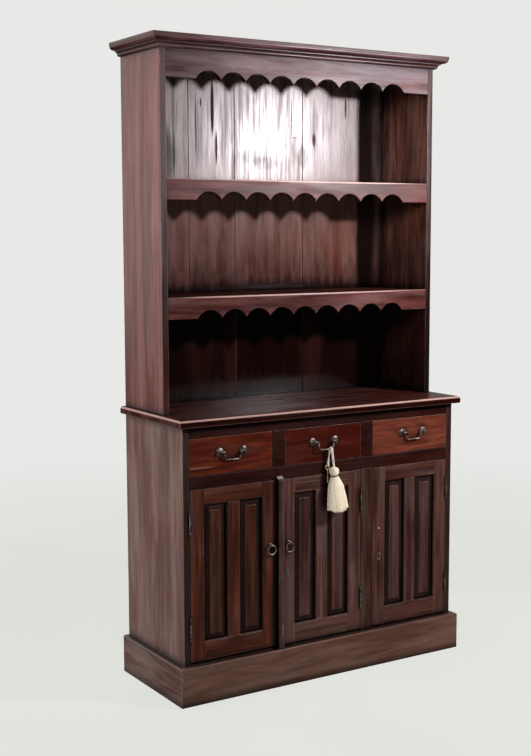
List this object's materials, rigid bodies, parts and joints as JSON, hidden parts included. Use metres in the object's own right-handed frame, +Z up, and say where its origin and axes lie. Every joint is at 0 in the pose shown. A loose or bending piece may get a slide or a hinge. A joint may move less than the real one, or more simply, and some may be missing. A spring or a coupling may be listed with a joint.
{
  "type": "hutch",
  "caption": "Tall kitchen hutch: open rack with scalloped frieze and shelf aprons over a base with drawers, panelled doors and a plinth; a key and tassel hang from a bail handle.",
  "frame": {"origin": "on the floor, under the middle of the whole piece", "axes": "+X to the right seen from the front, +Y to the back, +Z up; the front faces -Y"},
  "size_m": [1.134, 0.4414, 2.05],
  "materials": {
    "case_wood": "satin polish",
    "door_wood": "satin polish",
    "panel_wood": "satin polish",
    "drawer_wood": "satin polish",
    "back_wood": "gloss polish",
    "inner_wood": "bare",
    "aged_brass": "tarnished",
    "hinge_steel": "tarnished",
    "lock_steel": "dull",
    "key_brass": "polished",
    "cotton_cord": "twisted cotton",
    "cotton_thread": "loose cotton threads"
  },
  "bodies": {
    "case": {"lower_side_left": "case_wood", "lower_side_right": "case_wood", "bottom_board": "case_wood", "lower_back_boards": "back_wood", "plinth_front": "case_wood", "plinth_left": "case_wood", "plinth_right": "case_wood", "back_rails": "inner_wood", "top_rail": "case_wood", "mid_rail": "case_wood", "drawer_muntins": "case_wood", "door_post": "case_wood", "partition": "inner_wood", "drawer_runners": "inner_wood", "cupboard_shelves": "inner_wood", "shelf_battens": "inner_wood", "worktop": "case_wood", "frame_hinges": "hinge_steel", "upper_side_left": "case_wood", "upper_side_right": "case_wood", "top_board": "inner_wood", "frieze": "case_wood", "upper_shelf": "case_wood", "upper_apron": "case_wood", "lower_shelf": "case_wood", "lower_apron": "case_wood", "upper_back_boards": "back_wood", "cornice_front": "case_wood", "cornice_left": "case_wood", "cornice_right": "case_wood"},
    "drawer_1": {"drawer_1_front": "drawer_wood", "drawer_1_box": "inner_wood", "drawer_1_posts": "aged_brass"},
    "bail_1": {"drawer_1_bail": "aged_brass"},
    "drawer_2": {"drawer_2_front": "drawer_wood", "drawer_2_box": "inner_wood", "drawer_2_posts": "aged_brass"},
    "bail_2": {"drawer_2_bail": "aged_brass"},
    "drawer_3": {"drawer_3_front": "drawer_wood", "drawer_3_box": "inner_wood", "drawer_3_posts": "aged_brass"},
    "bail_3": {"drawer_3_bail": "aged_brass"},
    "door_1": {"door_1_frame": "door_wood", "door_1_panels": "panel_wood", "door_1_fittings": "aged_brass"},
    "door_2": {"door_2_frame": "door_wood", "door_2_panels": "panel_wood", "door_2_fittings": "aged_brass", "closing_strip": "case_wood"},
    "door_3": {"door_3_frame": "door_wood", "door_3_panels": "panel_wood", "door_3_fittings": "aged_brass"},
    "ring_1": {"door_1_ring": "aged_brass"},
    "ring_2": {"door_2_ring": "aged_brass"},
    "bolt_2": {"door_2_bolt": "lock_steel"},
    "bolt_3": {"door_3_bolt": "lock_steel"},
    "tassel": {"tassel_loop": "cotton_cord", "tassel_head": "cotton_cord", "tassel_skirt": "cotton_thread", "key": "key_brass"}
  },
  "joints": [
    {"name": "drawer_1_slide", "type": "slide", "parent": "case", "child": "drawer_1", "axis": [0, -1, 0], "range_m": [0, 0.25]},
    {"name": "drawer_2_slide", "type": "slide", "parent": "case", "child": "drawer_2", "axis": [0, -1, 0], "range_m": [0, 0.25]},
    {"name": "drawer_3_slide", "type": "slide", "parent": "case", "child": "drawer_3", "axis": [0, -1, 0], "range_m": [0, 0.25]},
    {"name": "bail_1_pivot", "type": "hinge", "parent": "drawer_1", "child": "bail_1", "pos_m": [-0.356, -0.19575, 0.7837], "axis": [-1, 0, 0], "range_deg": [-10, 130]},
    {"name": "bail_2_pivot", "type": "hinge", "parent": "drawer_2", "child": "bail_2", "pos_m": [-0.009, -0.19575, 0.7837], "axis": [-1, 0, 0], "range_deg": [0, 115]},
    {"name": "bail_3_pivot", "type": "hinge", "parent": "drawer_3", "child": "bail_3", "pos_m": [0.355, -0.19575, 0.7837], "axis": [-1, 0, 0], "range_deg": [-10, 130]},
    {"name": "door_1_hinge", "type": "hinge", "parent": "case", "child": "door_1", "pos_m": [-0.506, -0.18615, 0.4], "axis": [0, 0, -1], "range_deg": [0, 110]},
    {"name": "door_2_hinge", "type": "hinge", "parent": "case", "child": "door_2", "pos_m": [0.141, -0.18615, 0.4], "axis": [0, 0, 1], "range_deg": [0, 110], "deforming": ["tassel_loop", "tassel_head", "tassel_skirt", "key"]},
    {"name": "door_3_hinge", "type": "hinge", "parent": "case", "child": "door_3", "pos_m": [0.506, -0.18615, 0.4], "axis": [0, 0, 1], "range_deg": [0, 110]},
    {"name": "ring_1_pivot", "type": "hinge", "parent": "door_1", "child": "ring_1", "pos_m": [-0.214, -0.19175, 0.466], "axis": [-1, 0, 0], "range_deg": [-10, 90]},
    {"name": "ring_2_pivot", "type": "hinge", "parent": "door_2", "child": "ring_2", "pos_m": [-0.144, -0.19175, 0.466], "axis": [-1, 0, 0], "range_deg": [-10, 90]},
    {"name": "bolt_2_slide", "type": "slide", "parent": "door_2", "child": "bolt_2", "axis": [-1, 0, 0], "range_m": [0, 0.009]},
    {"name": "bolt_3_slide", "type": "slide", "parent": "door_3", "child": "bolt_3", "axis": [-1, 0, 0], "range_m": [0, 0.009]},
    {"name": "tassel_hang", "type": "hinge", "parent": "bail_2", "child": "tassel", "pos_m": [0.008, -0.19982, 0.75802], "axis": [-1, 0, 0], "range_deg": [-115, 0]}
  ],
  "couplings": [
    {"joint": "tassel_hang", "follows": "bail_2_pivot", "ratio": -1}
  ]
}
